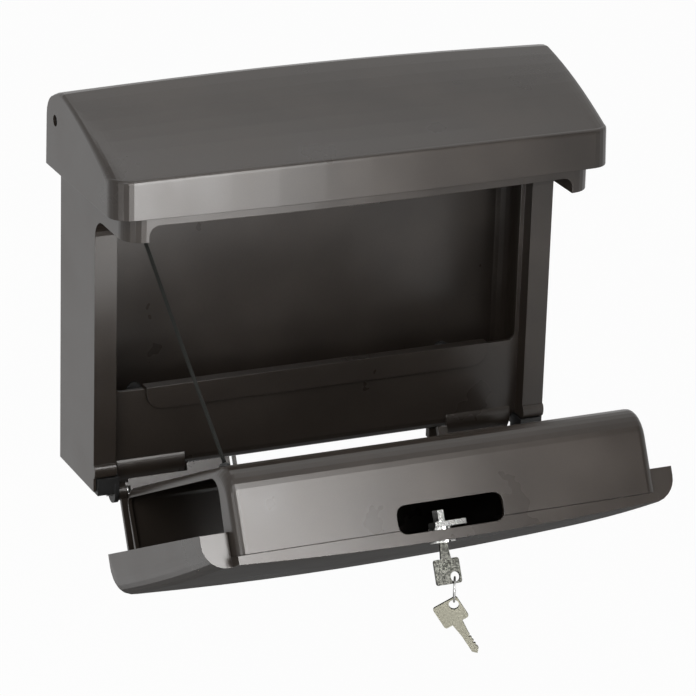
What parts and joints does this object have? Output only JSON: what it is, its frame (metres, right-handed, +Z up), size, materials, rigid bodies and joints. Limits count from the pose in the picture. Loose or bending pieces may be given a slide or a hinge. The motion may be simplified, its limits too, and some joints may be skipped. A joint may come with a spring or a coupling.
{
  "type": "wall mailbox",
  "caption": "Brown wall mailbox with a lifting lid, a drop-down door that carries a newspaper tube and cam lock, a stay cord and keys.",
  "frame": {"origin": "middle of the housing's flat back, between the four wall holes, on the wall plane", "axes": "+X to the right seen from the front, +Y into the wall, +Z up"},
  "size_m": [0.4, 0.3162, 0.3811],
  "materials": {
    "painted_housing": "satin metallic brown",
    "black_plastic": "matte black",
    "black_rubber": "matte",
    "cord_black": "braided",
    "chrome": "bright",
    "nickel_silver": "dull nickel",
    "zinc_steel": "zinc plated"
  },
  "bodies": {
    "housing": {"housing": "painted_housing", "letter_guard": "painted_housing", "letter_chute": "painted_housing", "door_bearing_left": "black_plastic", "door_bearing_right": "black_plastic", "door_pin_left": "zinc_steel", "door_pin_right": "zinc_steel", "lid_pin_left": "black_plastic", "lid_pin_right": "black_plastic", "lid_bumper_left": "black_rubber", "lid_bumper_right": "black_rubber", "lock_catch": "zinc_steel", "catch_screw_left": "zinc_steel", "catch_screw_right": "zinc_steel", "cord_eye": "black_plastic", "door_cord": "cord_black", "hole_plug_lower_left": "black_rubber", "hole_plug_lower_right": "black_rubber", "hole_plug_upper_left": "black_rubber", "hole_plug_upper_right": "black_rubber"},
    "lid": {"lid": "painted_housing"},
    "door": {"door_shell": "painted_housing", "newspaper_tube": "painted_housing", "tube_screw_1": "zinc_steel", "tube_screw_2": "zinc_steel", "tube_screw_3": "zinc_steel", "tube_screw_4": "zinc_steel", "lock_body": "chrome", "lock_gasket": "black_rubber", "lock_nut": "zinc_steel", "cord_button": "black_plastic"},
    "lock_plug": {"lock_plug": "chrome", "lock_cam": "chrome", "cam_nut": "chrome"},
    "key": {"key": "chrome"},
    "key_ring": {"key_ring": "zinc_steel"},
    "spare_key": {"spare_key": "nickel_silver"}
  },
  "joints": [
    {"name": "lid_hinge", "type": "hinge", "parent": "housing", "child": "lid", "pos_m": [0, -0.0192, 0.1525], "axis": [-1, 0, 0], "range_deg": [0, 60]},
    {"name": "door_hinge", "type": "hinge", "parent": "housing", "child": "door", "pos_m": [0, -0.0687, -0.1296], "axis": [1, 0, 0], "range_deg": [-63.5, 0], "deforming": ["door_cord"]},
    {"name": "lock_turn", "type": "hinge", "parent": "door", "child": "lock_plug", "pos_m": [-0.003, -0.29592, -0.10168], "axis": [0, -0.4462, -0.8949], "range_deg": [0, 90]},
    {"name": "key_slide", "type": "slide", "parent": "lock_plug", "child": "key", "axis": [0, -0.4462, -0.8949], "range_m": [0, 0.024]},
    {"name": "ring_swing", "type": "hinge", "parent": "key", "child": "key_ring", "pos_m": [0.0022, -0.30725, -0.12441], "axis": [1, 0, 0], "range_deg": [-50, 0]},
    {"name": "spare_swing", "type": "hinge", "parent": "key_ring", "child": "spare_key", "pos_m": [0.0022, -0.30725, -0.14632], "axis": [0.4147, 0.91, 0], "range_deg": [-40, 40]}
  ]
}
